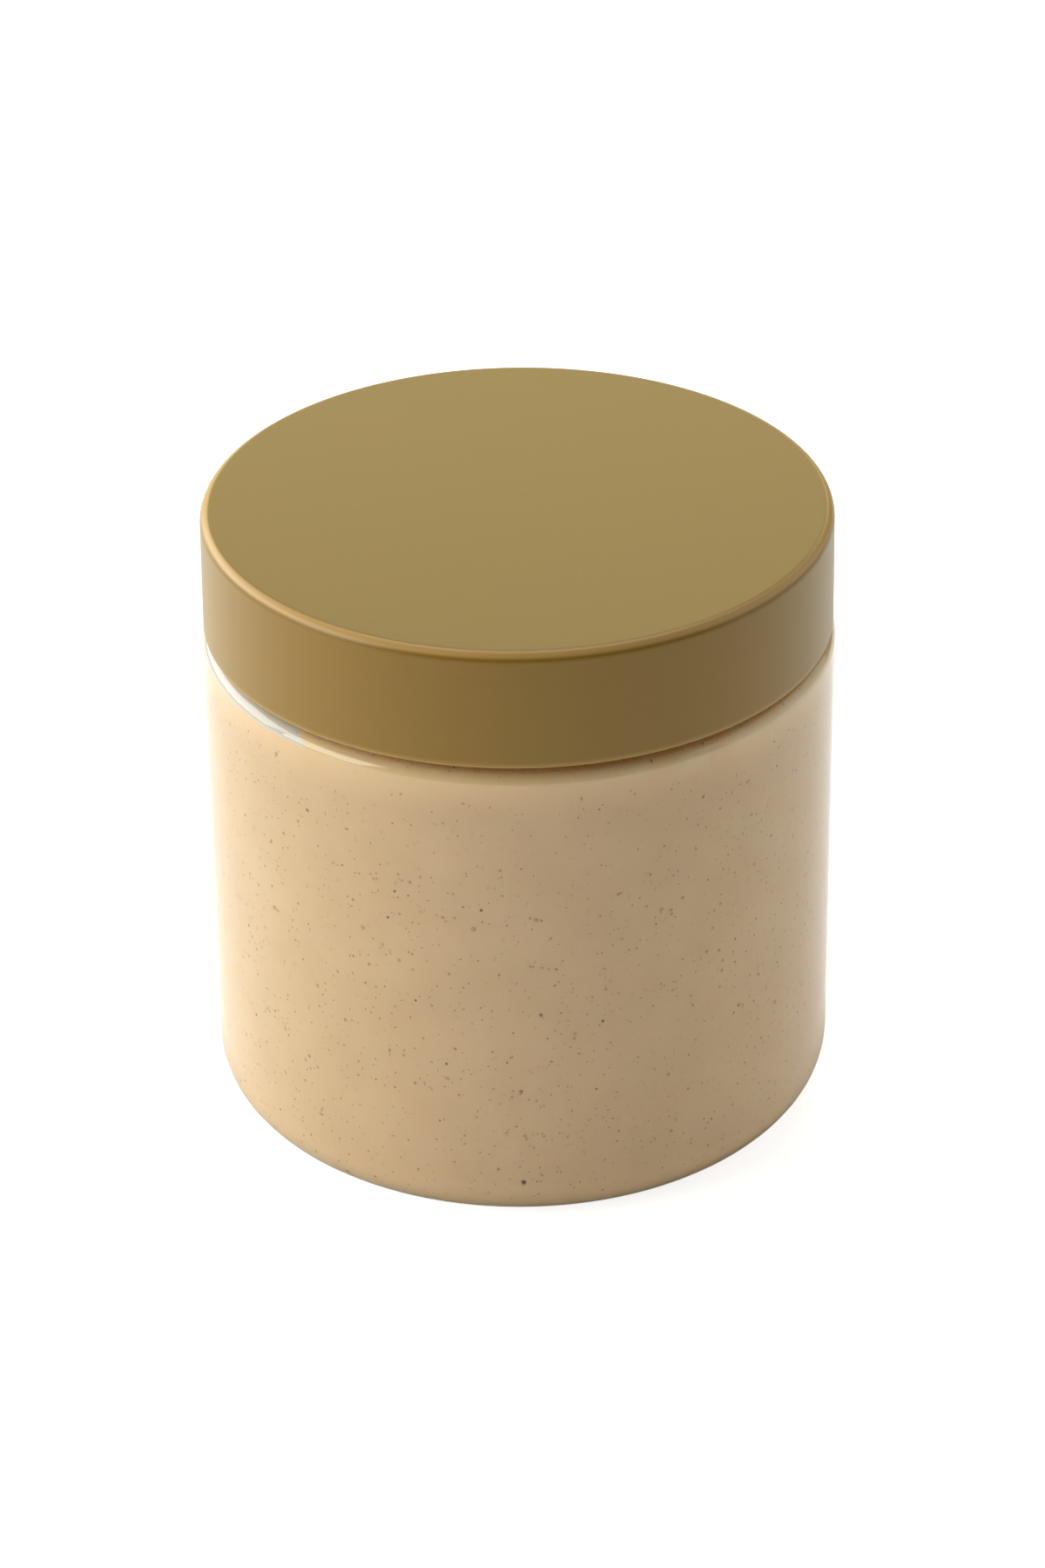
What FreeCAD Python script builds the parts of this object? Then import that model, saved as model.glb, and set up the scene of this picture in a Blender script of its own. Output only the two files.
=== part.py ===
"""A jar of tahini: a clear straight-sided jar, the paste that fills it and its screw lid.

Millimetres, +Z up. The origin is where the jar's axis meets the surface that it stands on.
The jar is a blow-moulded PET body with an injection-moulded neck: a foot ring round a domed
push-up, a straight wall, a low shoulder and a wide neck with a transfer bead. The lid is
smooth moulded polypropylene whose top seats on the rim of the neck, and the paste takes the
form of the jar's cavity up to its fill level.
"""

import FreeCAD, Part
import math
import os

# Jar body
jar_height = 91.2  # from the surface it stands on to the rim of the neck
body_diameter = 90.6
body_wall = 0.9
body_corner_rounding = 6.9  # between the wall and the foot
shoulder_rounding = 1.8

# Jar base
foot_width = 1.6  # flat of the foot ring that touches the table
foot_depth = 1.4  # from the table up to the edge of the push-up
foot_lean = 1.2  # how far the foot's inner side leans in as it rises
foot_rounding = 0.6
push_up_rise = 2.6  # height of the dome above its edge
base_thickness = 1.6

# Jar neck
neck_wall = 1.6
neck_root_rounding = 0.4
rim_rounding = 0.5
bead_proud = 0.6  # how far the transfer bead stands out of the neck
bead_height = 1.6
bead_rounding = 0.35
bead_above_shoulder = 2.4  # from the shoulder to the underside of the bead
inner_shoulder_height = 1.6  # over which the inside narrows from body to neck
inner_shoulder_rounding = 1.8

# Lid
lid_height = 17.5
lid_wall = 1.2
lid_draft = 0.2  # how far the skirt leans in from foot to top, on the radius
lid_top_thickness = 1.6
lid_edge_rounding = 1.5  # between the top and the skirt
lid_foot_rounding = 0.35
lid_inner_rounding = 0.8  # between the skirt and the underside of the top

# Fits between the pieces
lid_set_in = 0.3  # how far the skirt's foot stands inside the jar's wall
lid_clearance = 0.2  # between the skirt and the transfer bead
shoulder_gap = 1.0  # from the shoulder up to the foot of the skirt
headspace = 3.5  # from the surface of the paste up to the rim

# Heights that follow
lid_top = jar_height + lid_top_thickness
lid_foot = lid_top - lid_height
shoulder_height = lid_foot - shoulder_gap
fill_level = jar_height - headspace

# Radii that follow
body_radius = body_diameter / 2
cavity_radius = body_radius - body_wall
lid_radius = body_radius - lid_set_in
skirt_inner_radius = lid_radius - lid_wall
bead_radius = skirt_inner_radius - lid_clearance
neck_radius = bead_radius - bead_proud
bore_radius = neck_radius - neck_wall
foot_outer_radius = body_radius - body_corner_rounding
foot_inner_radius = foot_outer_radius - foot_width
push_up_radius = foot_inner_radius - foot_lean
cavity_corner_rounding = body_corner_rounding - (body_wall + base_thickness) / 2


def point(radius, height):
    """A point of a half outline, in the XZ plane."""
    return FreeCAD.Vector(radius, 0, height)


def rounded_corner(before, corner, after, rounding):
    """The two ends and the middle of the arc that rounds a corner between two straight runs."""
    back = (before - corner).normalize()
    onward = (after - corner).normalize()
    half_angle = back.getAngle(onward) / 2
    reach = rounding / math.tan(half_angle)
    middle_line = (back + onward).normalize()
    centre = corner + middle_line * (rounding / math.sin(half_angle))
    return corner + back * reach, centre - middle_line * rounding, corner + onward * reach


def turned(outline):
    """A solid turned about Z from a closed half outline of (radius, height, rounding) corners."""
    corners = [point(radius, height) for radius, height, _ in outline]
    before = corners[-1:] + corners[:-1]
    after = corners[1:] + corners[:1]
    stops = []
    for i, (_, _, rounding) in enumerate(outline):
        stop = (corners[i],)
        if rounding:
            stop = rounded_corner(before[i], corners[i], after[i], rounding)
        stops.append(stop)
    edges = []
    for stop, onward in zip(stops, stops[1:] + stops[:1]):
        if len(stop) == 3:
            edges.append(Part.Arc(*stop).toShape())
        edges.append(Part.LineSegment(stop[-1], onward[0]).toShape())
    face = Part.Face(Part.Wire(edges))
    return face.revolve(FreeCAD.Vector(0, 0, 0), FreeCAD.Vector(0, 0, 1), 360)


def push_up(base_height, thickness):
    """The domed cap of the push-up above a height, grown by a thickness of wall."""
    edge_radius = push_up_radius - foot_rounding
    ball_radius = (edge_radius**2 + push_up_rise**2) / (2 * push_up_rise)
    centre_height = foot_depth + push_up_rise - ball_radius
    grown_radius = ball_radius + thickness
    latitude = math.degrees(math.asin((base_height - centre_height) / grown_radius))
    centre = FreeCAD.Vector(0, 0, centre_height)
    up = FreeCAD.Vector(0, 0, 1)
    return Part.makeSphere(grown_radius, centre, up, latitude, 90)


def jar_outside():
    """The jar's outer form, solid: foot, wall, shoulder, neck and transfer bead."""
    bead_foot = shoulder_height + bead_above_shoulder
    bead_top = bead_foot + bead_height
    form = turned(
        [
            (0, foot_depth, 0),
            (push_up_radius, foot_depth, foot_rounding),
            (foot_inner_radius, 0, foot_rounding),
            (body_radius, 0, body_corner_rounding),
            (body_radius, shoulder_height, shoulder_rounding),
            (neck_radius, shoulder_height, neck_root_rounding),
            (neck_radius, bead_foot, 0),
            (bead_radius, bead_foot, bead_rounding),
            (bead_radius, bead_top, bead_rounding),
            (neck_radius, bead_top, 0),
            (neck_radius, jar_height, rim_rounding),
            (0, jar_height, 0),
        ]
    )
    return form.cut(push_up(foot_depth, 0))


def jar_cavity():
    """The space inside the jar, up to its rim, with a floor that follows the push-up."""
    neck_foot = shoulder_height - body_wall
    form = turned(
        [
            (0, base_thickness, 0),
            (cavity_radius, base_thickness, cavity_corner_rounding),
            (cavity_radius, neck_foot - inner_shoulder_height, inner_shoulder_rounding),
            (bore_radius, neck_foot, inner_shoulder_rounding),
            (bore_radius, jar_height, 0),
            (0, jar_height, 0),
        ]
    )
    return form.cut(push_up(base_thickness, base_thickness))


def lid():
    """The lid: a flat top on a smooth skirt, open below."""
    return turned(
        [
            (0, jar_height, 0),
            (skirt_inner_radius - lid_draft, jar_height, lid_inner_rounding),
            (skirt_inner_radius, lid_foot, lid_foot_rounding),
            (lid_radius, lid_foot, lid_foot_rounding),
            (lid_radius - lid_draft, lid_top, lid_edge_rounding),
            (0, lid_top, 0),
        ]
    )


def tahini(cavity):
    """The paste: the jar's cavity up to the fill level."""
    below_level = Part.makeCylinder(body_radius, fill_level)
    return cavity.common(below_level)


def main():
    """Build the three pieces and write one STEP file for each."""
    cavity = jar_cavity()
    pieces = {
        "jar": jar_outside().cut(cavity),
        "tahini": tahini(cavity),
        "lid": lid(),
    }
    os.makedirs("parts", exist_ok=True)
    for name, shape in pieces.items():
        shape.exportStep(f"parts/{name}.step")
        print(name, shape.isValid(), len(shape.Solids), round(shape.Volume / 1000, 1), "cm3")


main()
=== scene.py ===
"""A full jar of tahini with its lid on: finishes, flecks, studio light and camera.

Every size is in metres. The jar stands on the floor at the origin, its axis along Z, and is looked at
from the -Y side. Each piece is a turned surface: an outline of rounded corners carried round the axis.
"""

import logging
import math
from dataclasses import dataclass, field
from enum import Enum

import bpy
import numpy as np
from mathutils import Matrix, Vector


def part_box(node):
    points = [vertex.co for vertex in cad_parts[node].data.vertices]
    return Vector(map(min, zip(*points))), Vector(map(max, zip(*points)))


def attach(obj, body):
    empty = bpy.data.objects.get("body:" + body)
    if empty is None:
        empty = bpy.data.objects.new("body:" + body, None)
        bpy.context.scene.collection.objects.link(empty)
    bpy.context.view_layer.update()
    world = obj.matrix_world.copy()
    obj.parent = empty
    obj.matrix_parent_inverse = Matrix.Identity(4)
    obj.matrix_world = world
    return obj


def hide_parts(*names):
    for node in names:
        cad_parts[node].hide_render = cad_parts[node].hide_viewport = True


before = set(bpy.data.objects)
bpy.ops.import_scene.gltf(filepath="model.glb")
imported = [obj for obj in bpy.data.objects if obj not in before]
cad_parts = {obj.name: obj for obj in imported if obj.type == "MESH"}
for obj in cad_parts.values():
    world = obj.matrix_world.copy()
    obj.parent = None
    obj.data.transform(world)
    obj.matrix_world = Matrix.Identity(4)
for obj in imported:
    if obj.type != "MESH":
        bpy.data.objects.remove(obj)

LOG = logging.getLogger("jar")
MM = 0.001
ROOT = "root"
BEAD_PLAY = 0.2 * MM  # between the lid's skirt and the neck's bead
BEAD_REACH = 0.6 * MM  # how far the bead stands out from the neck
LID_GAP = 1.0 * MM  # between the jar's shoulder and the lid's foot


class Side(Enum):
    """Which way a turned outline's faces look, given the order of its corners."""

    OUTWARD = 1
    INWARD = -1


def linear(hex_colour: str) -> tuple[float, float, float, float]:
    """Turn an sRGB hex colour into linear light.

    Args:
        hex_colour: Six hexadecimal digits, with or without a leading #.

    Returns:
        Linear red, green and blue with an alpha of 1.
    """
    digits = hex_colour.lstrip("#")
    srgb = np.array([int(digits[i : i + 2], 16) for i in (0, 2, 4)]) / 255
    light = np.where(srgb <= 0.04045, srgb / 12.92, ((srgb + 0.055) / 1.055) ** 2.4)
    return (*light.tolist(), 1.0)


def add_node(tree: bpy.types.NodeTree, kind: str, inputs: dict | None = None, **settings) -> bpy.types.Node:
    """Add a node with its settings and links.

    Args:
        tree: The node tree that gets the node.
        kind: The node's Blender type name.
        inputs: Socket name or number to a plain value or to the output socket that feeds it.
        **settings: The node's own attributes.

    Returns:
        The new node.
    """
    made = tree.nodes.new(kind)
    for name, value in settings.items():
        setattr(made, name, value)
    for socket, value in (inputs or {}).items():
        if isinstance(value, bpy.types.NodeSocket):
            tree.links.new(value, made.inputs[socket])
        else:
            made.inputs[socket].default_value = value
    return made


def new_material(name: str) -> tuple[bpy.types.Material, bpy.types.NodeTree]:
    """Make an empty node material.

    Args:
        name: The material's name.

    Returns:
        The material and its cleared node tree.
    """
    material = bpy.data.materials.new(name)
    material.use_nodes = True
    material.node_tree.nodes.clear()
    return material, material.node_tree


def overlap(
    tree: bpy.types.NodeTree, spans: tuple[tuple[bpy.types.NodeSocket, float, float], ...]
) -> bpy.types.NodeSocket:
    """Find where several values have all risen, as the product of the share that each has risen.

    Args:
        tree: The node tree.
        spans: Each value with where its rise starts and ends.

    Returns:
        A share, 1 where every value is past its end.
    """
    share = None
    for value, start, end in spans:
        span = {"Value": value, "From Min": start, "From Max": end}
        risen = add_node(tree, "ShaderNodeMapRange", span).outputs["Result"]
        if share is None:
            share = risen
        else:
            share = add_node(tree, "ShaderNodeMath", {0: share, 1: risen}, operation="MULTIPLY").outputs[0]
    return share


# ---------------------------------------------------------------- turned shapes


@dataclass(frozen=True)
class Corner:
    """A corner of a half outline: its radius and height, and the radius of the arc that rounds it."""

    radius: float
    height: float
    rounding: float = 0.0


@dataclass(frozen=True)
class Outline:
    """A half outline of straight runs and rounded corners, sampled finely enough to shade smoothly."""

    corners: tuple[Corner, ...]
    arc_step: float = math.radians(8)
    run_step: float = 2.4 * MM
    shoulder: float = 0.12 * MM  # a point this near each end of a run keeps the run's shading straight

    def arc(self, before: np.ndarray, corner: np.ndarray, after: np.ndarray, rounding: float) -> np.ndarray:
        """Round one corner.

        The arc touches both runs at rounding / tan(half the angle) from the corner, and its centre lies on
        the angle's middle line at rounding / sin(half the angle).

        Args:
            before: The point before the corner, as radius and height.
            corner: The corner itself.
            after: The point after the corner.
            rounding: The arc's radius, or 0 for a sharp corner.

        Returns:
            The arc's points, one row each.
        """
        if rounding <= 0:
            return corner[None]
        back = (before - corner) / np.linalg.norm(before - corner)
        onward = (after - corner) / np.linalg.norm(after - corner)
        half = math.acos(np.clip(back @ onward, -1, 1)) / 2
        middle = (back + onward) / np.linalg.norm(back + onward)
        centre = corner + middle * rounding / math.sin(half)
        start = corner + back * rounding / math.tan(half) - centre
        end = corner + onward * rounding / math.tan(half) - centre
        sweep = math.atan2(start[0] * end[1] - start[1] * end[0], start @ end)
        angles = np.linspace(0, sweep, max(3, math.ceil(abs(sweep) / self.arc_step)) + 1)
        turn = np.stack([np.cos(angles), np.sin(angles)], axis=1)
        across = np.array([-start[1], start[0]])
        return centre + turn[:, :1] * start + turn[:, 1:] * across

    def run(self, start: np.ndarray, end: np.ndarray) -> np.ndarray:
        """Divide the straight run between two points, leaving out the two points themselves."""
        length = np.linalg.norm(end - start)
        if length < 4 * self.shoulder:
            return np.empty((0, 2))
        inner = np.arange(1, math.ceil(length / self.run_step)) / math.ceil(length / self.run_step)
        inner = inner[(inner * length > 2 * self.shoulder) & ((1 - inner) * length > 2 * self.shoulder)]
        shares = np.concatenate([[self.shoulder / length], inner, [1 - self.shoulder / length]])
        return start + shares[:, None] * (end - start)

    def points(self) -> np.ndarray:
        """Sample the whole outline.

        Returns:
            Its points in order, one row of radius and height each.
        """
        spots = np.array([(c.radius, c.height) for c in self.corners])
        last = len(spots) - 1
        roundings = [c.rounding if 0 < i < last else 0 for i, c in enumerate(self.corners)]
        arcs = [
            self.arc(spots[max(i - 1, 0)], spots[i], spots[min(i + 1, last)], rounding)
            for i, rounding in enumerate(roundings)
        ]
        pieces = [arcs[0]]
        for before, after in zip(arcs, arcs[1:]):
            pieces += [self.run(before[-1], after[0]), after]
        return np.concatenate(pieces)


def mesh_piece(name: str, vertices: np.ndarray, faces: list[np.ndarray]) -> bpy.types.Object:
    """Put vertices and faces into a smooth-shaded mesh object.

    Args:
        name: The piece's name.
        vertices: Positions, one row each.
        faces: Arrays of faces, each array holding faces of one size.

    Returns:
        The new object, linked to the scene.
    """
    mesh = bpy.data.meshes.new(name)
    corners = np.concatenate([f.ravel() for f in faces]).astype(np.int32)
    counts = np.concatenate([np.full(len(f), f.shape[1]) for f in faces])
    mesh.vertices.add(len(vertices))
    mesh.vertices.foreach_set("co", vertices.astype(np.float32).ravel())
    mesh.loops.add(len(corners))
    mesh.loops.foreach_set("vertex_index", corners)
    mesh.polygons.add(len(counts))
    mesh.polygons.foreach_set("loop_start", np.concatenate([[0], np.cumsum(counts)[:-1]]).astype(np.int32))
    mesh.polygons.foreach_set("use_smooth", np.ones(len(counts), bool))
    mesh.update(calc_edges=True)
    mesh.validate()
    piece = bpy.data.objects.new(name, mesh)
    bpy.context.scene.collection.objects.link(piece)
    return piece


@dataclass(frozen=True)
class Turned:
    """A closed surface made by carrying an outline that starts and ends on the axis round Z."""

    name: str
    outline: np.ndarray
    around: int = 384
    side: Side = Side.OUTWARD

    def grid(self) -> tuple[np.ndarray, np.ndarray, np.ndarray]:
        """The angle, radius and height of every point between the two poles, as rows round the axis."""
        angle = np.linspace(0, 2 * math.pi, self.around, endpoint=False)
        inner = self.outline[1:-1]
        angles = np.broadcast_to(angle, (len(inner), self.around)).copy()
        radii = np.repeat(inner[:, :1], self.around, axis=1)
        heights = np.repeat(inner[:, 1:], self.around, axis=1)
        return angles, radii, heights

    def build(self) -> bpy.types.Object:
        """Make the mesh.

        A point at an angle, radius and height stands at (radius cos angle, radius sin angle, height).

        Returns:
            The new object.
        """
        angles, radii, heights = self.grid()
        ring = np.stack([radii * np.cos(angles), radii * np.sin(angles), heights], axis=2).reshape(-1, 3)
        poles = np.array([[0, 0, self.outline[0, 1]], [0, 0, self.outline[-1, 1]]])
        vertices = np.concatenate([ring, poles])
        index = np.arange(len(ring)).reshape(-1, self.around)
        onward = np.roll(index, -1, axis=1)
        quads = np.stack([index[:-1], onward[:-1], onward[1:], index[1:]], axis=2).reshape(-1, 4)
        first = np.full(self.around, len(ring))
        start_fan = np.stack([first, onward[0], index[0]], axis=1)
        end_fan = np.stack([first + 1, index[-1], onward[-1]], axis=1)
        if self.side is Side.INWARD:
            quads, start_fan, end_fan = quads[:, ::-1], start_fan[:, ::-1], end_fan[:, ::-1]
        return mesh_piece(self.name, vertices, [quads, start_fan, end_fan])


# ---------------------------------------------------------------- finishes


@dataclass(frozen=True)
class MouldedPolypropylene:
    """Polypropylene moulded against a finely etched steel tool: the lid.

    The etched tool gives the eye a soft sheen with no clear reflection, and the pigment, an olive gold, is
    mixed through the plastic, so it clouds a little and handling leaves pale dust on it.
    """

    colour: str = "#946F11"
    cloud_colour: str = "#916E16"
    dust_colour: str = "#C2AE80"
    # a painted highlight along the lid's rounded top edge
    edge_highlight_colour: str = "#D6AB62"
    edge_rise: tuple[float, float] = (0.65, 0.3)  # below the top, in roundings: none and all of the painted highlight
    edge_reach: tuple[float, float] = (1.0, 0.75)  # the same, in from the lid's side
    # the lip is a painted highlight along the lid's foot
    lip_height: float = 0.9 * MM
    lip_share: float = 0.5
    cloud_size: float = 14 * MM
    etch_size: float = 0.35 * MM
    etch_depth: float = 0.006 * MM
    dust_spacing: float = 2.6 * MM
    dust_size: float = 0.13 * MM
    dust_share: float = 0.55
    roughness: float = 0.34
    ior: float = 1.49
    sheen: float = 0.22  # the etched skin scatters light that grazes it, so the lid pales towards its sides
    sheen_roughness: float = 0.45
    sheen_colour: str = "#EFE6B4"

    def edge(
        self,
        tree: bpy.types.NodeTree,
        place: bpy.types.NodeSocket,
        foot: float,
        top: float,
        radius: float,
        rounding: float,
    ) -> bpy.types.NodeSocket:
        """Find where a highlight is painted on the rounded edges, at the lid's top and its foot.

        Args:
            tree: The material's nodes.
            place: The position.
            foot: The height of the lid's foot above the table.
            top: The height of its top.
            radius: The lid's radius.
            rounding: The radius of its top edge.

        Returns:
            A share, 1 on the rounded edge.
        """
        height = add_node(tree, "ShaderNodeSeparateXYZ", {0: place}).outputs["Z"]
        level = add_node(tree, "ShaderNodeVectorMath", {0: place, 1: (1, 1, 0)}, operation="MULTIPLY")
        flat = {0: level.outputs[0]}
        out = add_node(tree, "ShaderNodeVectorMath", flat, operation="LENGTH").outputs["Value"]
        below, full = self.edge_rise
        start = {"Value": height, "From Min": top - below * rounding, "From Max": top - full * rounding}
        rise = add_node(tree, "ShaderNodeMapRange", start, interpolation_type="SMOOTHSTEP")
        inner, full = self.edge_reach
        span = {"Value": out, "From Min": radius - inner * rounding, "From Max": radius - full * rounding}
        reach = add_node(tree, "ShaderNodeMapRange", span, interpolation_type="SMOOTHSTEP")
        both = {0: rise.outputs[0], 1: reach.outputs[0]}
        rim = add_node(tree, "ShaderNodeMath", both, operation="MULTIPLY").outputs[0]
        lip = {"Value": height, "From Min": foot + self.lip_height, "From Max": foot}
        lip["To Max"] = self.lip_share
        lower = add_node(tree, "ShaderNodeMapRange", lip).outputs[0]
        return add_node(tree, "ShaderNodeMath", {0: rim, 1: lower}, operation="MAXIMUM").outputs[0]

    def build(self, foot: float, top: float, radius: float, rounding: float) -> bpy.types.Material:
        """Make the material: clouded pigment, painted highlights on the edges, sparse dust and an etched
        bump.

        Args:
            foot: The height of the lid's foot above the table.
            top: The height of its top.
            radius: The lid's radius.
            rounding: The radius of its top edge.

        Returns:
            The material.
        """
        material, tree = new_material("moulded_polypropylene")
        place = add_node(tree, "ShaderNodeTexCoord").outputs["Object"]
        clouds = {"Vector": place, "Scale": 1 / self.cloud_size, "Detail": 4.0, "Roughness": 0.6}
        cloud = add_node(tree, "ShaderNodeTexNoise", clouds)
        speck = add_node(
            tree, "ShaderNodeTexVoronoi", {"Vector": place, "Scale": 1 / self.dust_spacing, "Randomness": 1.0}
        )
        dust = add_node(
            tree,
            "ShaderNodeMapRange",
            {
                "Value": speck.outputs["Distance"],
                "From Min": self.dust_size / self.dust_spacing,
                "From Max": 0.4 * self.dust_size / self.dust_spacing,
                "To Max": self.dust_share,
            },
        )
        layers = (
            (cloud.outputs["Fac"], self.cloud_colour),
            (self.edge(tree, place, foot, top, radius, rounding), self.edge_highlight_colour),
            (dust.outputs["Result"], self.dust_colour),
        )
        coat = linear(self.colour)
        for share, colour in layers:
            layer = {0: share, 6: coat, 7: linear(colour)}
            coat = add_node(tree, "ShaderNodeMix", layer, data_type="RGBA").outputs[2]
        pits = {"Vector": place, "Scale": 1 / self.etch_size, "Detail": 2.0}
        etch = add_node(tree, "ShaderNodeTexNoise", pits)
        relief = {"Height": etch.outputs["Fac"], "Strength": 1.0, "Distance": self.etch_depth}
        bump = add_node(tree, "ShaderNodeBump", relief)
        surface = add_node(
            tree,
            "ShaderNodeBsdfPrincipled",
            {
                "Base Color": coat,
                "Roughness": self.roughness,
                "IOR": self.ior,
                "Sheen Weight": self.sheen,
                "Sheen Roughness": self.sheen_roughness,
                "Sheen Tint": linear(self.sheen_colour),
                "Normal": bump.outputs["Normal"],
            },
        )
        add_node(tree, "ShaderNodeOutputMaterial", {"Surface": surface.outputs[0]})
        return material


@dataclass(frozen=True)
class BlownPet:
    """Clear PET, injection moulded at the neck and blown below it: the jar.

    Blowing draws the wall thin and leaves it glossy and almost colourless, with the faintest waviness, so
    the eye sees the paste through it, a veil of reflected light, and the wall itself only at its edges.
    """

    colour: str = "#F3F5F1"
    roughness: float = 0.04
    ior: float = 1.575
    wave_size: float = 16 * MM
    wave_depth: float = 0.012 * MM

    def build(self) -> bpy.types.Material:
        """Make the material: a bent, glossy wall that lets the lamps' light through to the paste."""
        material, tree = new_material("blown_pet")
        place = add_node(tree, "ShaderNodeTexCoord").outputs["Object"]
        waves = {"Vector": place, "Scale": 1 / self.wave_size, "Detail": 1.0}
        wave = add_node(tree, "ShaderNodeTexNoise", waves)
        relief = {"Height": wave.outputs["Fac"], "Strength": 1.0, "Distance": self.wave_depth}
        bump = add_node(tree, "ShaderNodeBump", relief)
        wall = add_node(
            tree,
            "ShaderNodeBsdfPrincipled",
            {
                "Base Color": linear(self.colour),
                "Roughness": self.roughness,
                "IOR": self.ior,
                "Transmission Weight": 1.0,
                "Normal": bump.outputs["Normal"],
            },
        )
        clear = add_node(tree, "ShaderNodeBsdfTransparent", {"Color": linear(self.colour)})
        path = add_node(tree, "ShaderNodeLightPath").outputs
        lighting = {0: path["Is Shadow Ray"], 1: path["Is Diffuse Ray"]}
        onward = add_node(tree, "ShaderNodeMath", lighting, operation="MAXIMUM")
        shares = {0: onward.outputs[0], 1: wall.outputs[0], 2: clear.outputs[0]}
        mixed = add_node(tree, "ShaderNodeMixShader", shares)
        add_node(tree, "ShaderNodeOutputMaterial", {"Surface": mixed.outputs[0]})
        return material


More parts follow.
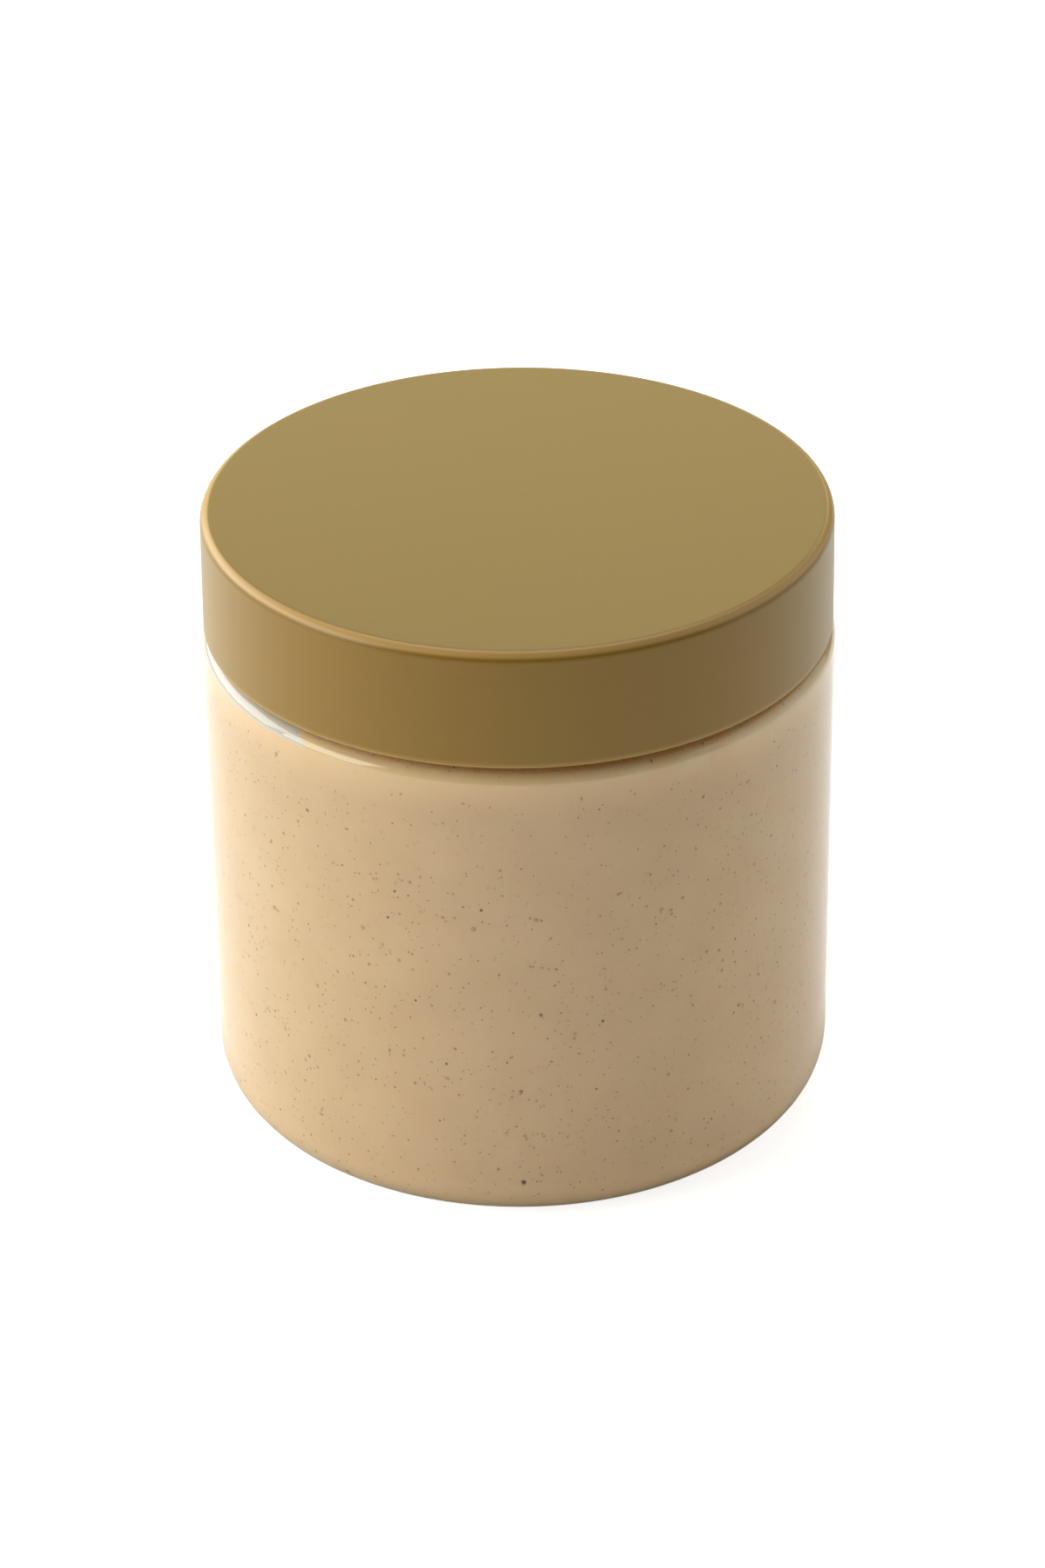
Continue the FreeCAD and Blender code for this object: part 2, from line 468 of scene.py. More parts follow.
@dataclass(frozen=True)
class SesamePaste:
    """Stone-ground sesame paste pressed against the jar's wall.

    Grinding leaves an oily, opaque cream with soft clouds of thicker and thinner paste and a fine brown
    grain of bran, so the eye sees an even, slightly warm beige that is never quite flat.
    """

    colour: str = "#E8C79C"
    cloud_colour: str = "#E4C296"
    bran_colour: str = "#C79C64"
    cloud_size: float = 11 * MM
    bran_spacing: float = 1.9 * MM
    bran_size: float = 0.22 * MM
    bran_share: float = 0.42
    roughness: float = 0.5
    ior: float = 1.47
    scatter: float = 2.2 * MM  # how far red light wanders in the oil before it comes out
    scatter_shares: tuple[float, float, float] = (1.0, 0.75, 0.5)
    # a painted reflection of the window lamp in the shoulder: a pale band with a slanted cut-off end
    reflection_band_colour: str = "#E3D8CC"
    reflection_band_start: float = math.radians(44)  # where the painted reflection begins, to the left of the front
    reflection_band_end: float = math.radians(112)
    reflection_band_slant: float = -32.0  # turn in radians for each metre of height, at the painted reflection's cut-off end
    reflection_band_rise: float = 1.9 * MM  # how far below the shoulder's top the painted reflection reaches
    reflection_band_cut_blur: float = 0.004  # half the width of its cut-off end, in radians
    reflection_band_end_fade: float = 0.05  # over how many radians its other end fades
    reflection_band_foot_blur: float = 0.15 * MM
    # a painted reflection of the pale backdrop in the shoulder, broken into sharp-edged patches under its
    # right
    reflection_smear_colour: str = "#F2DFC6"
    smear_size: float = 7 * MM
    smear_outline: tuple[float, float] = (0.47, 0.5)  # the noise's values between which a smear begins
    reflection_smear_share: float = 0.6
    smear_start: float = math.radians(-8)
    smear_fade: float = 0.25  # over how many radians the smears grow clear
    smear_drop: float = 4.2 * MM  # how far below the shoulder's top the smears run
    painted_light_colour: str = "#FFDAAB"
    painted_light_drop: float = 8 * MM  # how far below the shoulder's top the paste is painted paler, a painted light against the lid's shade
    painted_light_share: float = 0.75

    def reflection_band(
        self,
        tree: bpy.types.NodeTree,
        turn: bpy.types.NodeSocket,
        height: bpy.types.NodeSocket,
        shoulder: float,
    ) -> bpy.types.NodeSocket:
        """Find the painted reflection of the window lamp, a pale band under the left of the shoulder.

        Args:
            tree: The material's nodes.
            turn: The angle to the left of the front.
            height: The height above the table.
            shoulder: The height of the shoulder's top.

        Returns:
            A share, 1 in the painted reflection.
        """
        offset = add_node(tree, "ShaderNodeMath", {0: height, 1: shoulder}, operation="SUBTRACT").outputs[0]
        leaning = {0: offset, 1: self.reflection_band_slant, 2: turn}
        slant = add_node(tree, "ShaderNodeMath", leaning, operation="MULTIPLY_ADD").outputs[0]
        foot = shoulder - self.reflection_band_rise
        spans = (
            (slant, self.reflection_band_start - self.reflection_band_cut_blur, self.reflection_band_start + self.reflection_band_cut_blur),
            (turn, self.reflection_band_end, self.reflection_band_end - self.reflection_band_end_fade),
            (height, foot, foot + self.reflection_band_foot_blur),
        )
        return overlap(tree, spans)

    def reflection_smears(
        self,
        tree: bpy.types.NodeTree,
        place: bpy.types.NodeSocket,
        turn: bpy.types.NodeSocket,
        height: bpy.types.NodeSocket,
        shoulder: float,
    ) -> bpy.types.NodeSocket:
        """Find the painted reflection of the pale backdrop, as patches with sharp outlines under the right of
        the shoulder.

        Args:
            tree: The material's nodes.
            place: The position.
            turn: The angle to the left of the front.
            height: The height above the table.
            shoulder: The height of the shoulder's top.

        Returns:
            A share, up to 1 in a smear.
        """
        pattern = {"Vector": place, "Scale": 1 / self.smear_size, "Detail": 3.0, "Distortion": 1.4}
        noise = add_node(tree, "ShaderNodeTexNoise", pattern).outputs["Fac"]
        spans = (
            (noise, *self.smear_outline),
            (turn, self.smear_start, self.smear_start - self.smear_fade),
            (height, shoulder - self.smear_drop, shoulder - 0.4 * self.smear_drop),
        )
        return overlap(tree, spans)

    def build(self, shoulder: float) -> bpy.types.Material:
        """Make the material: clouded cream with bran, painted reflections under the shoulder, and painted
        light that pales the paste below it.

        Args:
            shoulder: The height of the shoulder's top, under which the paste is painted paler and the painted
                reflections lie.

        Returns:
            The material.
        """
        material, tree = new_material("sesame_paste")
        place = add_node(tree, "ShaderNodeTexCoord").outputs["Object"]
        facing = add_node(tree, "ShaderNodeMapping", {"Vector": place, "Rotation": (0, 0, math.pi)})
        parts = add_node(tree, "ShaderNodeSeparateXYZ", {0: facing.outputs[0]}).outputs
        across = {0: parts["X"], 1: parts["Y"]}
        turn = add_node(tree, "ShaderNodeMath", across, operation="ARCTAN2").outputs[0]
        clouds = {"Vector": place, "Scale": 1 / self.cloud_size, "Detail": 5.0, "Roughness": 0.55}
        cloud = add_node(tree, "ShaderNodeTexNoise", clouds)
        middle = {"Value": cloud.outputs["Fac"], "From Min": 0.35, "From Max": 0.65}
        spread = add_node(tree, "ShaderNodeMapRange", middle)
        grain = add_node(
            tree, "ShaderNodeTexVoronoi", {"Vector": place, "Scale": 1 / self.bran_spacing, "Randomness": 1.0}
        )
        bran = add_node(
            tree,
            "ShaderNodeMapRange",
            {
                "Value": grain.outputs["Distance"],
                "From Min": 1.6 * self.bran_size / self.bran_spacing,
                "From Max": 0.3 * self.bran_size / self.bran_spacing,
                "To Max": self.bran_share,
            },
        )
        smeared = {0: self.reflection_smears(tree, place, turn, parts["Z"], shoulder), 1: self.reflection_smear_share}
        smear = add_node(tree, "ShaderNodeMath", smeared, operation="MULTIPLY")
        # painted light: the paste is painted paler up towards the shoulder, where the lid shades it
        rise = {"Value": parts["Z"], "From Min": shoulder - self.painted_light_drop, "From Max": shoulder}
        rise["To Max"] = self.painted_light_share
        painted_light = add_node(tree, "ShaderNodeMapRange", rise, interpolation_type="SMOOTHSTEP").outputs["Result"]
        layers = (
            (spread.outputs["Result"], self.cloud_colour),
            (bran.outputs["Result"], self.bran_colour),
            (smear.outputs[0], self.reflection_smear_colour),
            (painted_light, self.painted_light_colour),
            (self.reflection_band(tree, turn, parts["Z"], shoulder), self.reflection_band_colour),
        )
        coat = linear(self.colour)
        for share, colour in layers:
            layer = {0: share, 6: coat, 7: linear(colour)}
            coat = add_node(tree, "ShaderNodeMix", layer, data_type="RGBA").outputs[2]
        surface = add_node(
            tree,
            "ShaderNodeBsdfPrincipled",
            {
                "Base Color": coat,
                "Roughness": self.roughness,
                "IOR": self.ior,
                "Specular IOR Level": 0.1,
                "Subsurface Weight": 1.0,
                "Subsurface Radius": self.scatter_shares,
                "Subsurface Scale": self.scatter,
            },
        )
        add_node(tree, "ShaderNodeOutputMaterial", {"Surface": surface.outputs[0]})
        return material


@dataclass(frozen=True)
class SesameHull:
    """Flakes of roasted sesame hull caught in the paste: dark, dry and dull, no two of one tone."""

    name: str
    dark: str
    pale: str
    tone_attribute: str = "tone"
    roughness: float = 0.7
    ior: float = 1.5

    def build(self) -> bpy.types.Material:
        """Make the material: each flake's own tone between its dark and its pale brown."""
        material, tree = new_material(self.name)
        tone = add_node(tree, "ShaderNodeAttribute", attribute_name=self.tone_attribute)
        brown = add_node(
            tree,
            "ShaderNodeMix",
            {0: tone.outputs["Fac"], 6: linear(self.dark), 7: linear(self.pale)},
            data_type="RGBA",
        )
        surface = add_node(
            tree,
            "ShaderNodeBsdfPrincipled",
            {
                "Base Color": brown.outputs[2],
                "Roughness": self.roughness,
                "IOR": self.ior,
                "Specular IOR Level": 0.1,
            },
        )
        add_node(tree, "ShaderNodeOutputMaterial", {"Surface": surface.outputs[0]})
        return material


# ---------------------------------------------------------------- the jar and what it holds


@dataclass
class Jar:
    """The blown jar: foot ring, push-up, wall, shoulder, neck, transfer bead and rim."""

    body_radius: float
    neck_radius: float
    bead_radius: float
    shoulder_height: float
    height: float
    wall: float = 0.9 * MM
    corner_rounding: float = 6.9 * MM
    shoulder_rounding: float = 1.8 * MM
    foot_width: float = 1.6 * MM
    foot_depth: float = 1.4 * MM
    foot_lean: float = 1.2 * MM
    foot_rounding: float = 0.6 * MM
    push_up_rise: float = 2.6 * MM
    base_thickness: float = 1.6 * MM
    neck_wall: float = 1.6 * MM
    root_rounding: float = 0.4 * MM
    rim_rounding: float = 0.5 * MM
    bead_height: float = 1.6 * MM
    bead_rounding: float = 0.35 * MM
    bead_above_shoulder: float = 2.4 * MM
    inner_shoulder_height: float = 1.6 * MM
    inner_shoulder_rounding: float = 1.8 * MM
    finish: BlownPet = field(default_factory=BlownPet)

    @property
    def push_up_radius(self) -> float:
        """The radius at which the foot's inner side meets the push-up."""
        return self.body_radius - self.corner_rounding - self.foot_width - self.foot_lean

    @property
    def dome_radius(self) -> float:
        """The radius of the push-up dome's edge."""
        return self.push_up_radius - self.foot_rounding

    def push_up(self, radius: np.ndarray, thickness: float) -> np.ndarray:
        """Work out the height of the push-up's dome, grown by a thickness of wall.

        It is the top of a ball less the ball's fall at the radius, which is the ball's radius less the root
        of its square less the radius squared.

        Args:
            radius: Distances from the axis.
            thickness: How far the dome is grown, 0 for its outer face.

        Returns:
            The heights.
        """
        ball = (self.dome_radius**2 + self.push_up_rise**2) / (2 * self.push_up_rise) + thickness
        return self.foot_depth + self.push_up_rise + thickness - (ball - np.sqrt(ball**2 - radius**2))

    def outside(self) -> np.ndarray:
        """Sample the outer outline, from the middle of the push-up to the rim's outer corner."""
        bead_foot = self.shoulder_height + self.bead_above_shoulder
        bead_top = bead_foot + self.bead_height
        bore = self.neck_radius - self.neck_wall
        corners = (
            Corner(self.dome_radius, self.foot_depth),
            Corner(self.push_up_radius, self.foot_depth, self.foot_rounding),
            Corner(self.push_up_radius + self.foot_lean, 0, self.foot_rounding),
            Corner(self.body_radius, 0, self.corner_rounding),
            Corner(self.body_radius, self.shoulder_height, self.shoulder_rounding),
            Corner(self.neck_radius, self.shoulder_height, self.root_rounding),
            Corner(self.neck_radius, bead_foot),
            Corner(self.bead_radius, bead_foot, self.bead_rounding),
            Corner(self.bead_radius, bead_top, self.bead_rounding),
            Corner(self.neck_radius, bead_top),
            Corner(self.neck_radius, self.height, self.rim_rounding),
            Corner(bore, self.height),
        )
        radius = np.linspace(0, self.dome_radius, 14)[:-1]
        dome = np.stack([radius, self.push_up(radius, 0)], axis=1)
        return np.concatenate([dome, Outline(corners).points()])

    def inside(self, reach: float = 0.0) -> np.ndarray:
        """Sample the cavity's outline from the rim down to the middle of its floor.

        Args:
            reach: How far to move the outline into the wall, as for what fills the jar.

        Returns:
            The points, one row of radius and height each.
        """
        bore = self.neck_radius - self.neck_wall + reach
        cavity = self.body_radius - self.wall + reach
        floor = self.base_thickness - reach
        neck_foot = self.shoulder_height - self.wall + reach
        rounding = self.corner_rounding - (self.wall + self.base_thickness) / 2 + reach
        corners = (
            Corner(bore, self.height),
            Corner(bore, neck_foot, self.inner_shoulder_rounding),
            Corner(cavity, neck_foot - self.inner_shoulder_height, self.inner_shoulder_rounding),
            Corner(cavity, floor, rounding),
            Corner(0, floor),
        )
        points = Outline(corners).points()
        points[:, 1] = np.maximum(points[:, 1], self.push_up(points[:, 0], floor))
        return points

    def filled(self, reach: float, skin: float) -> np.ndarray:
        """Sample the outline of what fills the jar, from its floor up to the neck's mouth.

        The side reaches into the wall, and the shoulder runs just under the outer one, because the thick
        rounded wall there bends the light so far that the filling seems to fill it.

        Args:
            reach: How far the outline goes into the wall.
            skin: How thick the clear wall stays over the shoulder.

        Returns:
            The points, one row of radius and height each.
        """
        cavity = self.body_radius - self.wall + reach
        rounding = self.shoulder_rounding - (self.body_radius - cavity + skin) / 2
        shoulder = self.shoulder_height - skin
        corners = (
            Corner(cavity, shoulder / 2),
            Corner(cavity, shoulder, rounding),
            Corner(self.neck_radius - self.neck_wall + reach, shoulder, self.root_rounding),
            Corner(self.neck_radius - self.neck_wall + reach, self.height),
        )
        below = self.inside(reach)[::-1]
        return np.concatenate([below[below[:, 1] < shoulder / 2 - MM], Outline(corners).points()])

    def build(self) -> list[bpy.types.Object]:
        """Make the jar as one closed shell and dress it."""
        shell = np.concatenate([self.outside(), self.inside()[1:]])
        piece = Turned("clear_jar", shell).build()
        piece.data.materials.append(self.finish.build())
        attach(piece, ROOT)
        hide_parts("jar")
        return [piece]


@dataclass
class Flecks:
    """Flakes of one kind, scattered over the paste where it touches the jar."""

    name: str
    count: int
    length: float  # of a middling flake
    spread: float  # how much lengths vary, as the logarithm's deviation
    finish: SesameHull
    seed: int
    proud: float = 0.04 * MM
    thickness: float = 0.07 * MM
    around: int = 6
    rings: int = 3
    start: float = 0.0  # where round the jar the flakes begin, from +X towards +Y
    sweep: float = 2 * math.pi

    def flake(self) -> tuple[np.ndarray, np.ndarray, np.ndarray]:
        """A ball of unit radius as rings between two poles.

        Returns:
            Its vertices, its four-sided faces and its three-sided faces.
        """
        slope = np.linspace(0, math.pi, self.rings + 2)[1:-1, None]
        angle = np.linspace(0, 2 * math.pi, self.around, endpoint=False)[None]
        flat = np.broadcast_to(np.cos(slope), (self.rings, self.around))
        rings = np.stack([np.sin(slope) * np.cos(angle), np.sin(slope) * np.sin(angle), flat], axis=2)
        vertices = np.concatenate([rings.reshape(-1, 3), [[0, 0, 1], [0, 0, -1]]])
        index = np.arange(self.rings * self.around).reshape(self.rings, self.around)
        onward = np.roll(index, -1, axis=1)
        quads = np.stack([index[:-1], index[1:], onward[1:], onward[:-1]], axis=2).reshape(-1, 4)
        top = np.full(self.around, self.rings * self.around)
        fans = np.concatenate(
            [np.stack([top, index[0], onward[0]], axis=1), np.stack([top + 1, onward[-1], index[-1]], axis=1)]
        )
        return vertices, quads, fans

    def build(self, outline: np.ndarray) -> bpy.types.Object:
        """Scatter the flakes evenly over a turned surface and lay each one flat on it.

        A flake's place along the outline is drawn by area, which is length times radius, and its own axes
        are the surface's normal and two directions in the surface, turned by a drawn angle.

        Args:
            outline: The paste's outline where flakes may lie, outward side on the right of its direction.

        Returns:
            The new object.
        """
        draw = np.random.default_rng(self.seed)
        step = np.diff(outline, axis=0)
        area = np.linalg.norm(step, axis=1) * (outline[:-1, 0] + outline[1:, 0])
        run = draw.choice(len(area), self.count, p=area / area.sum())
        spot = outline[run] + draw.random((self.count, 1)) * step[run]
        along = step[run] / np.linalg.norm(step[run], axis=1, keepdims=True)
        angle = self.start + draw.random(self.count) * self.sweep
        cos, sin = np.cos(angle), np.sin(angle)
        level = np.zeros(self.count)
        normal = np.stack([along[:, 1] * cos, along[:, 1] * sin, -along[:, 0]], axis=1)
        around = np.stack([-sin, cos, level], axis=1)
        upward = np.stack([along[:, 0] * cos, along[:, 0] * sin, along[:, 1]], axis=1)
        twist = draw.random((self.count, 1)) * math.pi
        first = np.cos(twist) * around + np.sin(twist) * upward
        second = np.cos(twist) * upward - np.sin(twist) * around
        size = self.length * np.exp(self.spread * draw.standard_normal((self.count, 1))) / 2
        slender = draw.uniform(0.45, 1.0, (self.count, 1))
        axes = np.stack([first * size, second * size * slender, normal * self.thickness], axis=2)
        centre = np.stack([spot[:, 0] * cos, spot[:, 0] * sin, spot[:, 1]], axis=1)
        centre += normal * (self.proud - self.thickness)
        flake, quads, fans = self.flake()
        vertices = centre[:, None] + np.einsum("nij,kj->nki", axes, flake)
        offset = (np.arange(self.count) * len(flake))[:, None, None]
        faces = [(quads[None] + offset).reshape(-1, 4), (fans[None] + offset).reshape(-1, 3)]
        piece = mesh_piece(self.name, vertices.reshape(-1, 3), faces)
        tone = piece.data.attributes.new(self.finish.tone_attribute, "FLOAT", "POINT")
        tone.data.foreach_set("value", np.repeat(draw.random(self.count), len(flake)).astype(np.float32))
        piece.data.materials.append(self.finish.build())
        return piece


@dataclass
class Tahini:
    """The paste, its flecks and its air bubbles. It reaches just into the wall, so no air gap shows."""

    jar: Jar
    level: float
    lid_foot: float
    reach: float = 0.3 * MM
    skin: float = 0.35 * MM
    bubble_drop: float = 0.75 * MM
    rim_slope: float = 0.3 * MM  # how far the top edge is cut off, inward and downward
    rim_clear: float = 0.5 * MM  # how far under the level the side's own points end
    rings: int = 24
    finish: SesamePaste = field(default_factory=SesamePaste)

    def outline(self) -> np.ndarray:
        """Sample the paste's outline from the middle of its floor up its side to the level."""
        wall = self.jar.filled(self.reach, self.skin)
        side = wall[wall[:, 1] < self.level - self.rim_clear]
        return np.concatenate([side, [[side[-1, 0], self.level - self.rim_slope]]])

    def build(self) -> list[bpy.types.Object]:
        """Make the paste, scatter its dark, brown and pale flecks and line its shoulder with bubbles."""
        side = self.outline()
        edge = side[-1, 0]
        top = np.linspace(1, 0, self.rings)[:, None] * [edge - self.rim_slope, 0] + [0, self.level]
        paste = Turned("tahini_paste", np.concatenate([side, top])).build()
        paste.data.materials.append(self.finish.build(self.jar.shoulder_height))
        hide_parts("tahini")
        shoulder = self.jar.shoulder_height
        shown = side[side[:, 1] < shoulder - self.finish.reflection_band_rise]
        dark_hull = SesameHull("dark_hull", "#5E3A16", "#986A34")
        brown_hull = SesameHull("brown_hull", "#A67A40", "#C49A5E")
        pale_hull = SesameHull("pale_hull", "#BC9054", "#D2A970")
        dark = Flecks("dark_flecks", 260, 0.33 * MM, 0.35, dark_hull, seed=11)
        brown = Flecks("brown_flecks", 1400, 0.33 * MM, 0.3, brown_hull, seed=19)
        pale = Flecks("pale_flecks", 4000, 0.38 * MM, 0.3, pale_hull, seed=23)
        ledge = side[(side[:, 1] > shoulder - self.bubble_drop) & (side[:, 1] < self.lid_foot)]
        reflection_band = self.finish.reflection_band_end - self.finish.reflection_band_start
        # the bubbles' pale tones are painted glints
        bubbles = Flecks(
            "rim_bubbles",
            640,
            0.2 * MM,
            0.4,
            SesameHull("bubbles_with_painted_glints", "#8E6F4A", "#FFFBF2"),
            seed=37,
            start=-math.pi / 2 - self.finish.reflection_band_start,
            sweep=2 * math.pi - reflection_band,
        )
        pieces = [paste, dark.build(shown), brown.build(shown), pale.build(shown), bubbles.build(ledge)]
        for piece in pieces:
            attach(piece, ROOT)
        return pieces


@dataclass
class Lid:
    """The screw lid: a flat top on a smooth skirt, hollow inside."""

    radius: float
    foot: float
    top: float
    underside: float
    draft: float = 0.2 * MM
    wall: float = 1.2 * MM
    edge_rounding: float = 1.5 * MM
    foot_rounding: float = 0.35 * MM
    inner_rounding: float = 0.8 * MM
    finish: MouldedPolypropylene = field(default_factory=MouldedPolypropylene)

    def outline(self) -> np.ndarray:
        """Sample the outline from the middle of the underside, round the skirt, to the middle of the top."""
        inner = self.radius - self.wall
        corners = (
            Corner(0, self.underside),
            Corner(inner - self.draft, self.underside, self.inner_rounding),
            Corner(inner, self.foot, self.foot_rounding),
            Corner(self.radius, self.foot, self.foot_rounding),
            Corner(self.radius - self.draft, self.top, self.edge_rounding),
            Corner(0, self.top),
        )
        return Outline(corners).points()

    def build(self) -> list[bpy.types.Object]:
        """Make the lid and dress it."""
        piece = Turned("screw_lid", self.outline()).build()
        piece.data.materials.append(self.finish.build(self.foot, self.top, self.radius, self.edge_rounding))
        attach(piece, ROOT)
        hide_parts("lid")
        return [piece]


# ---------------------------------------------------------------- the studio


def seen_by_camera(tree: bpy.types.NodeTree) -> bpy.types.NodeSocket:
    """Tell what the camera sees, straight or through a clear wall, from what only lights other things.

    Args:
        tree: The node tree that asks.

    Returns:
        A socket that is 1 on a camera ray or a clear path from the camera, and 0 after any matt surface.
    """
    path = add_node(tree, "ShaderNodeLightPath").outputs
    clear = {0: path["Is Camera Ray"], 1: path["Is Transmission Ray"]}
    straight = add_node(tree, "ShaderNodeMath", clear, operation="MAXIMUM")
    unscattered = add_node(tree, "ShaderNodeMath", {0: path["Diffuse Depth"], 1: 0.5}, operation="LESS_THAN")
    return add_node(
        tree, "ShaderNodeMath", {0: straight.outputs[0], 1: unscattered.outputs[0]}, operation="MULTIPLY"
    ).outputs[0]


@dataclass(frozen=True)
class Softbox:
    """A rectangular lamp that faces the jar."""

    name: str
    bearing: float  # degrees from the camera's side, positive to the left
    climb: float  # degrees above the table
    distance: float
    width: float
    height: float
    power: float
    colour: tuple[float, float, float] = (1.0, 1.0, 1.0)
    aim: Vector = field(default_factory=lambda: Vector((0, 0, 0.05)))

    def build(self) -> bpy.types.Object:
        """Hang the lamp at its bearing and climb, turned towards its aim."""
        lamp = bpy.data.lights.new(self.name, "AREA")
        lamp.shape = "RECTANGLE"
        lamp.size = self.width
        lamp.size_y = self.height
        lamp.energy = self.power
        lamp.color = self.colour
        bearing, climb = math.radians(self.bearing), math.radians(self.climb)
        level = math.cos(climb)
        away = Vector((-math.sin(bearing) * level, -math.cos(bearing) * level, math.sin(climb)))
        hung = bpy.data.objects.new(self.name, lamp)
        hung.location = self.aim + away * self.distance
        hung.rotation_mode = "QUATERNION"
        hung.rotation_quaternion = (-away).to_track_quat("-Z", "Y")
        hung.visible_camera = False
        bpy.context.scene.collection.objects.link(hung)
        return hung


@dataclass(frozen=True)
class LitTable:
    """A plain white table that gives off an even, neutral light, and none under the jar.

    The camera sees it brighter than it lights the jar, so that the floor shows white.
    """

    even_glow: float = 0.42  # what lights the jar
    attribute: str = "glow"
    colour: str = "#F2F2F2"
    shown_glow: float = 0.8  # what the camera sees
    foot_edge: float = 0.045
    lit_edge: float = 0.051
    lit_radius: float = 0.7
    lit_fade: float = 0.28  # how far past the lit radius the glow has faded
    radius: float = 3.0
    drop: float = 0.02 * MM
    around: int = 96
    close_rings: int = 46
    wide_rings: int = 14

    def glow(self, distance: np.ndarray) -> np.ndarray:
        """Work out the glow at a distance: even, with a ramp at the jar's foot and at the lit radius.

        Args:
            distance: Distance from the jar's axis.

        Returns:
            The glow, one value for each distance.
        """
        outer = np.clip((self.lit_radius + self.lit_fade - distance) / self.lit_fade, 0, 1)
        inner = np.clip((distance - self.foot_edge) / (self.lit_edge - self.foot_edge), 0, 1)
        return self.even_glow * outer * inner

    def finish(self) -> bpy.types.Material:
        """Make the table's material: white, with an even glow, and a brighter one for the camera."""
        material, tree = new_material("table_top")
        glow = add_node(tree, "ShaderNodeAttribute", attribute_name=self.attribute)
        shown = (self.shown_glow, self.shown_glow, self.shown_glow, 1.0)
        glows = {0: seen_by_camera(tree), 6: glow.outputs["Color"], 7: shown}
        seen = add_node(tree, "ShaderNodeMix", glows, data_type="RGBA")
        surface = add_node(
            tree,
            "ShaderNodeBsdfPrincipled",
            {
                "Base Color": linear(self.colour),
                "Roughness": 1.0,
                "Specular IOR Level": 0.0,
                "Emission Color": seen.outputs[2],
                "Emission Strength": 1.0,
            },
        )
        add_node(tree, "ShaderNodeOutputMaterial", {"Surface": surface.outputs[0]})
        return material

    def build(self) -> None:
        """Lay the table as rings round the jar's axis, each point holding its own glow."""
        angle = np.linspace(0, 2 * math.pi, self.around, endpoint=False)[None]
        close = np.linspace(0.02, 0.2, self.close_rings)
        wide = np.geomspace(0.24, self.radius, self.wide_rings)
        rings = np.concatenate([close, wide])[:, None]
        across = rings * np.cos(angle)
        along = rings * np.sin(angle)
        level = np.full_like(across, -self.drop)
        ring = np.stack([across, along, level], axis=2).reshape(-1, 3)
        vertices = np.concatenate([ring, [[0, 0, -self.drop]]])
        index = np.arange(across.size).reshape(across.shape)
        onward = np.roll(index, -1, axis=1)
        quads = np.stack([index[:-1], index[1:], onward[1:], onward[:-1]], axis=2).reshape(-1, 4)
        fan = np.stack([np.full(self.around, across.size), index[0], onward[0]], axis=1)
        table = mesh_piece("table", vertices, [quads, fan])
        glow = self.glow(np.hypot(vertices[:, 0], vertices[:, 1]))
        colours = np.stack([glow, glow, glow, np.ones(len(glow))], axis=1).astype(np.float32)
        stored = table.data.attributes.new(self.attribute, "FLOAT_COLOR", "POINT")
        stored.data.foreach_set("color", colours.ravel())
        table.data.materials.append(self.finish())


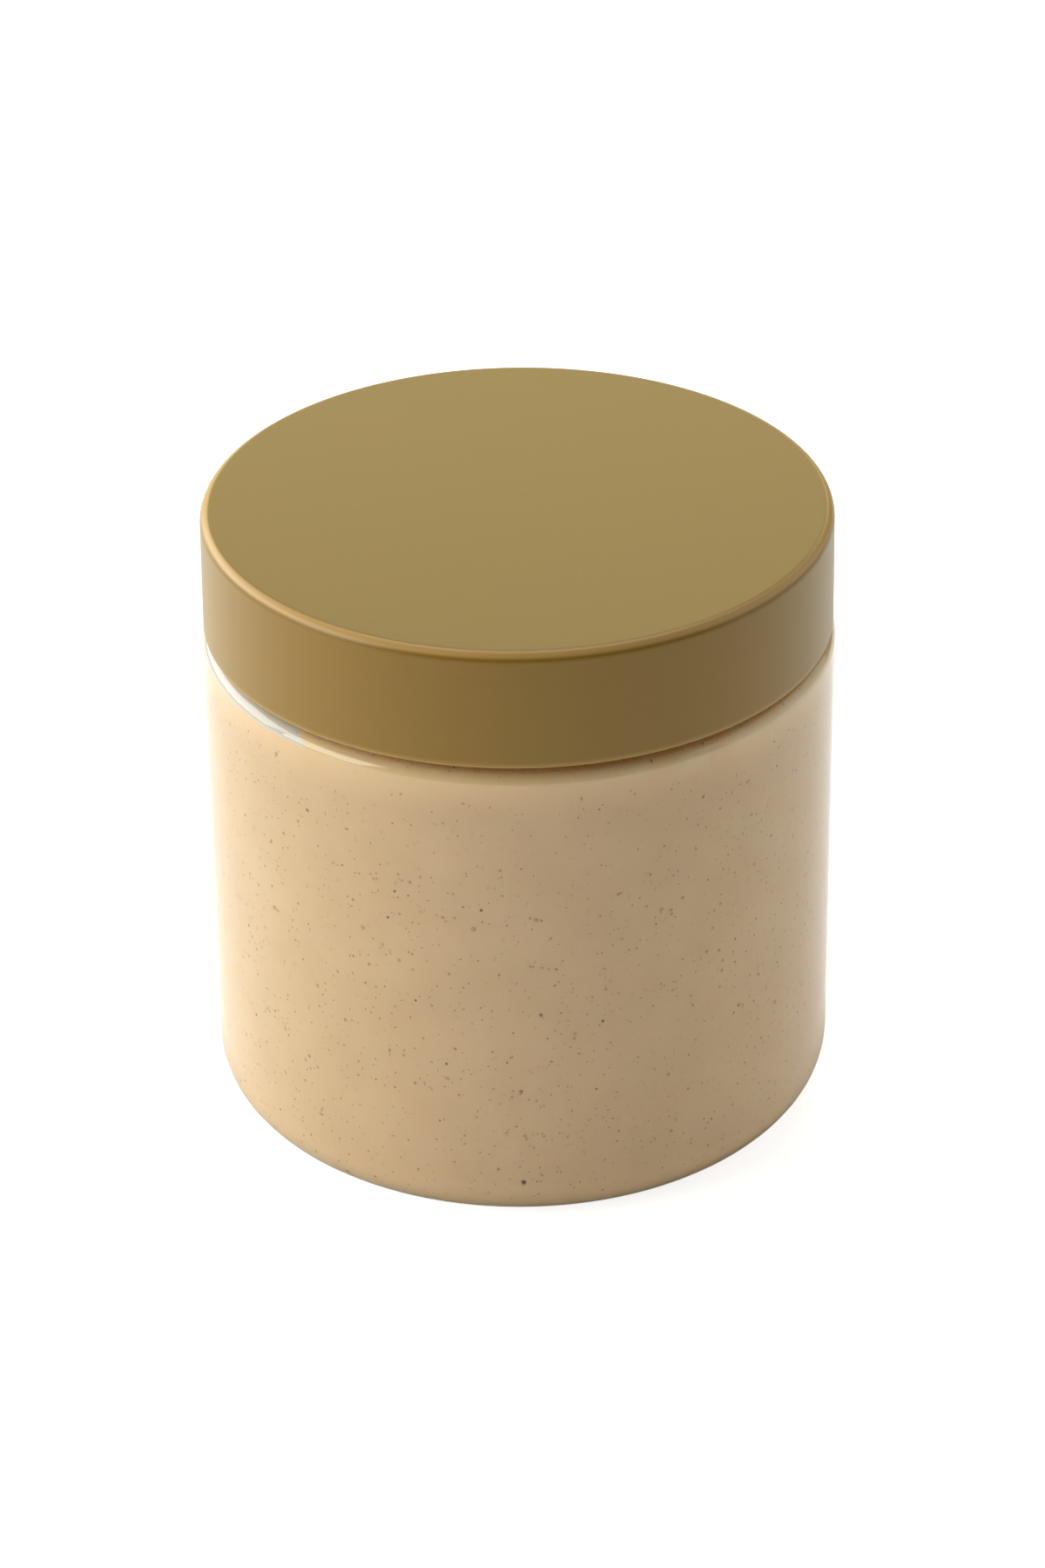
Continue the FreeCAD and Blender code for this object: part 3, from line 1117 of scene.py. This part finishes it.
@dataclass(frozen=True)
class Studio:
    """A plain lit table and five softboxes, the strongest at the left like a window."""

    room_strength: float = 0.06
    softboxes: tuple[Softbox, ...] = (
        Softbox("window", 120, 23, 1.0, 1.0, 0.6, 7.0, (0.95, 1.0, 1.06)),
        Softbox("left_card", 70, 22, 1.0, 0.6, 0.6, 4.6, (1.0, 1.0, 0.95)),
        Softbox("back", 180, 24, 1.0, 1.0, 0.5, 2.7, (1.0, 0.94, 0.55)),
        Softbox("high_back", 180, 62, 1.0, 0.6, 0.5, 2.3, (1.0, 0.98, 0.95)),
        Softbox("side_card", -103, 24, 1.0, 1.2, 0.9, 2.3),
    )
    table: LitTable = field(default_factory=LitTable)

    def light_room(self) -> None:
        """Fill the room with faint even light, and show white to the camera and through clear pieces."""
        world = bpy.data.worlds.new("room")
        bpy.context.scene.world = world
        world.use_nodes = True
        tree = world.node_tree
        tree.nodes.clear()
        white = (1.0, 1.0, 1.0, 1.0)
        light = add_node(tree, "ShaderNodeBackground", {"Color": white, "Strength": self.room_strength})
        shown = add_node(tree, "ShaderNodeBackground", {"Color": white, "Strength": 1.0})
        sources = {0: seen_by_camera(tree), 1: light.outputs[0], 2: shown.outputs[0]}
        mixed = add_node(tree, "ShaderNodeMixShader", sources)
        add_node(tree, "ShaderNodeOutputWorld", {"Surface": mixed.outputs[0]})

    def build(self) -> None:
        """Light the room, lay the table and hang the lamps, with tones shown as they are."""
        bpy.context.scene.view_settings.view_transform = "Standard"
        self.light_room()
        self.table.build()
        for softbox in self.softboxes:
            softbox.build()


@dataclass(frozen=True)
class Camera:
    """A long lens looking down on the jar from the front."""

    lens: float = 111.05
    distance: float = 0.6082
    height: float = 0.4045
    pitch: float = -30.48
    yaw: float = -0.03
    roll: float = -0.648

    def build(self) -> None:
        """Set the camera up, turned level first and then by its roll about its own line of sight."""
        data = bpy.data.cameras.new("camera")
        data.lens = self.lens
        data.sensor_width = 36
        data.clip_end = 20
        camera = bpy.data.objects.new("camera", data)
        yaw, pitch, roll = (math.radians(a) for a in (self.yaw, self.pitch, self.roll))
        level = Matrix.Rotation(yaw, 4, "Z") @ Matrix.Rotation(math.pi / 2 + pitch, 4, "X")
        place = Matrix.Translation((0, -self.distance, self.height))
        camera.matrix_world = place @ level @ Matrix.Rotation(roll, 4, "Z")
        bpy.context.scene.collection.objects.link(camera)
        bpy.context.scene.camera = camera


# ---------------------------------------------------------------- everything together


def report(pieces: list[bpy.types.Object]) -> None:
    """Log each piece's name and number of triangles."""
    for piece in pieces:
        piece.data.calc_loop_triangles()
        LOG.info("%s: %d triangles", piece.name, len(piece.data.loop_triangles))


def main() -> None:
    """Build the jar, the paste, the lid and the studio, in that order."""
    logging.basicConfig(level=logging.INFO, format="%(name)s: %(message)s")
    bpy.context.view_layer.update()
    (_, _, _), (jar_radius, _, jar_height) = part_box("jar")
    (_, _, lid_foot), (lid_radius, _, lid_top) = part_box("lid")
    (_, _, _), (_, _, level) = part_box("tahini")
    bead_radius = lid_radius - Lid.wall - BEAD_PLAY
    jar = Jar(jar_radius, bead_radius - BEAD_REACH, bead_radius, lid_foot - LID_GAP, jar_height)
    report(jar.build())
    report(Tahini(jar, level, lid_foot).build())
    report(Lid(lid_radius, lid_foot, lid_top, jar_height).build())
    Studio().build()
    Camera().build()


if __name__ == "__main__":
    main()
